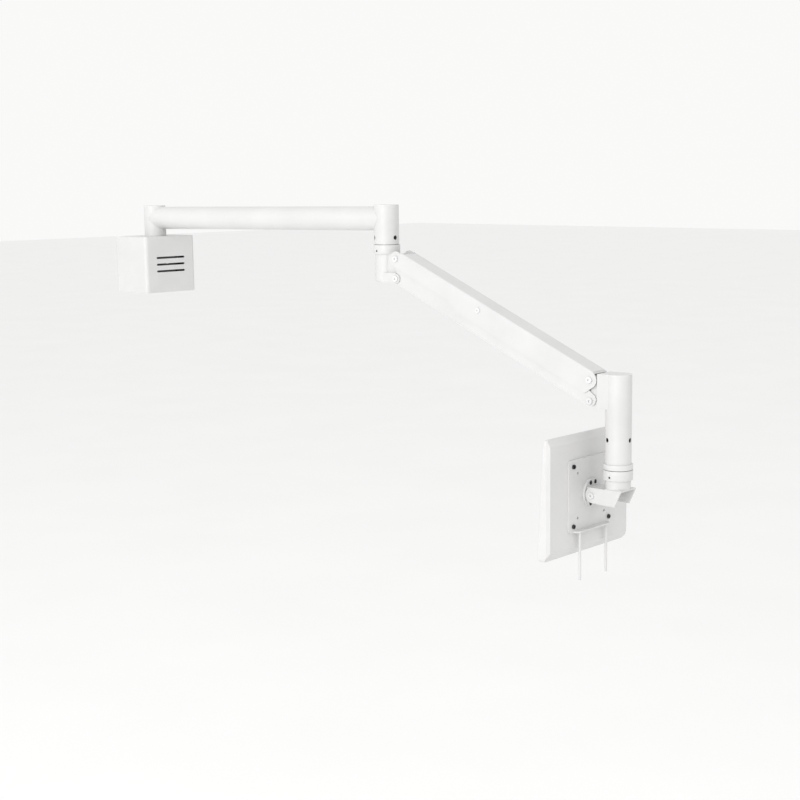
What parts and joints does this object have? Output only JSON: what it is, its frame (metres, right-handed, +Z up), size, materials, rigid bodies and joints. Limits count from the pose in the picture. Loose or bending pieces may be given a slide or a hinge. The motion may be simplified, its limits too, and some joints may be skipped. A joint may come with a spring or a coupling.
{
  "type": "wall-mounted display arm",
  "caption": "Jointed wall arm with a swivelling tube, a parallelogram lift arm and a hanging column that carries a small tilting display.",
  "frame": {"origin": "middle of the wall plate's back face, which lies on the wall", "axes": "+Z up, +Y into the wall, so the box and the arm reach out towards -Y; +X along the wall"},
  "size_m": [0.3717, 1.0575, 0.6141],
  "materials": {
    "white_powder_coat": "white powder coat",
    "bright_steel": "zinc plated steel",
    "white_capped_steel": "steel pin with a white painted head",
    "dark_steel": "black oxide steel",
    "bearing_plastic": "bearing plastic",
    "white_plastic": "fine textured moulding",
    "grommet_rubber": "soft rubber",
    "supply_case": "folded sheet",
    "black_cylinder": "gloss black paint",
    "screen_glass": "anti-glare",
    "panel_black": "dark panel",
    "board_green": "printed board",
    "cast_housing": "machined casting"
  },
  "bodies": {
    "wall_unit": {"wall_plate": "white_powder_coat", "box_shell": "white_powder_coat", "cover_screws": "bright_steel", "housing_screws": "bright_steel", "retaining_screw": "bright_steel", "post_housing": "cast_housing", "upper_post_bush": "bearing_plastic", "lower_post_bush": "bearing_plastic", "thrust_washer": "bearing_plastic", "power_supply": "supply_case", "entry_grommet": "grommet_rubber"},
    "boom": {"post": "white_powder_coat", "post_cap": "white_plastic", "boom_tube": "white_powder_coat", "elbow_sleeve": "white_powder_coat", "elbow_cap": "white_plastic", "elbow_bush": "bearing_plastic", "elbow_key_screws": "bright_steel"},
    "knuckle": {"knuckle_shaft": "bright_steel", "knuckle_nut": "bright_steel", "knuckle_ring": "white_powder_coat", "knuckle_ring_screw": "dark_steel", "knuckle": "white_powder_coat", "elbow_pivot_pins": "white_capped_steel", "elbow_pivot_washers": "bearing_plastic"},
    "upper_link": {"arm_upper_cover": "white_powder_coat", "spring_pin": "white_capped_steel"},
    "lower_link": {"arm_lower_cover": "white_powder_coat"},
    "spring_body": {"spring_cylinder": "black_cylinder"},
    "spring_piston": {"spring_rod": "bright_steel"},
    "column": {"column_bracket": "white_powder_coat", "column_tube": "white_powder_coat", "column_flange": "white_powder_coat", "column_cap": "white_plastic", "column_swivel_bush": "bearing_plastic", "column_swivel_key_screws": "bright_steel", "column_pivot_pins": "white_capped_steel", "column_pivot_washers": "bearing_plastic"},
    "head": {"head_shaft": "white_powder_coat", "head_nut": "bright_steel", "head_ring": "white_powder_coat", "head_ring_screw": "dark_steel", "stub_screw": "bright_steel", "yoke": "white_powder_coat", "tilt_bolt": "white_capped_steel", "friction_washers": "bearing_plastic"},
    "tilt_head": {"tilt_block": "white_powder_coat", "spindle_washer": "bright_steel", "spindle_screw": "bright_steel"},
    "display": {"rotation_flange": "white_powder_coat", "flange_screws": "dark_steel", "mounting_plate": "white_powder_coat", "hanger_rods": "white_powder_coat", "vesa_screws": "bright_steel", "rear_shell": "white_plastic", "front_bezel": "white_plastic", "screen_glass": "screen_glass", "lcd_panel": "panel_black", "driver_board": "board_green"},
    "button": {"power_button": "white_plastic"}
  },
  "joints": [
    {"name": "boom_swivel", "type": "hinge", "parent": "wall_unit", "child": "boom", "pos_m": [0, -0.048, 0.089], "axis": [0, 0, 1], "range_deg": [-97, 63]},
    {"name": "elbow_swivel", "type": "hinge", "parent": "boom", "child": "knuckle", "pos_m": [0.15262, -0.54719, 0.089], "axis": [0, 0, 1], "range_deg": [-109, 131]},
    {"name": "arm_lift", "type": "hinge", "parent": "knuckle", "child": "upper_link", "pos_m": [0.15649, -0.58399, 0.018], "axis": [-0.9945, -0.1045, 0], "range_deg": [-20.5, 39.5]},
    {"name": "bracket_level", "type": "hinge", "parent": "upper_link", "child": "column", "pos_m": [0.1991, -0.98942, -0.16778], "axis": [-0.9945, -0.1045, 0], "range_deg": [-39.5, 20.5]},
    {"name": "lower_link_follow", "type": "hinge", "parent": "knuckle", "child": "lower_link", "pos_m": [0.15649, -0.58399, -0.017], "axis": [-0.9945, -0.1045, 0], "range_deg": [-20.5, 39.5]},
    {"name": "spring_tilt", "type": "hinge", "parent": "knuckle", "child": "spring_body", "pos_m": [0.15649, -0.58399, 0], "axis": [-0.9945, -0.1045, 0], "range_deg": [-21.11, 40.4]},
    {"name": "spring_slide", "type": "slide", "parent": "spring_body", "child": "spring_piston", "axis": [0.0984, -0.9367, -0.3361], "range_m": [-0.00653, 0.01212]},
    {"name": "head_swivel", "type": "hinge", "parent": "column", "child": "head", "pos_m": [0.2037, -1.03318, -0.16778], "axis": [0, 0, 1], "range_deg": [-160, 160]},
    {"name": "display_tilt", "type": "hinge", "parent": "head", "child": "tilt_head", "pos_m": [0.2015, -0.99724, -0.35858], "axis": [-0.9981, -0.061, 0], "range_deg": [-10, 30]},
    {"name": "display_turn", "type": "hinge", "parent": "tilt_head", "child": "display", "pos_m": [0.2015, -0.99724, -0.35858], "axis": [-0.061, 0.9981, 0], "range_deg": [-90, 90]},
    {"name": "power_press", "type": "slide", "parent": "display", "child": "button", "axis": [0.061, -0.9981, 0], "range_m": [0, 0.001], "stiffness_N_per_m": 400, "springref_m": -0.002}
  ],
  "couplings": [
    {"joint": "bracket_level", "follows": "arm_lift", "ratio": -1},
    {"joint": "lower_link_follow", "follows": "arm_lift", "ratio": 1},
    {"joint": "spring_tilt", "follows": "arm_lift", "ratio": 1.0151},
    {"joint": "spring_slide", "follows": "arm_lift", "m_per_rad": 0.016854}
  ]
}
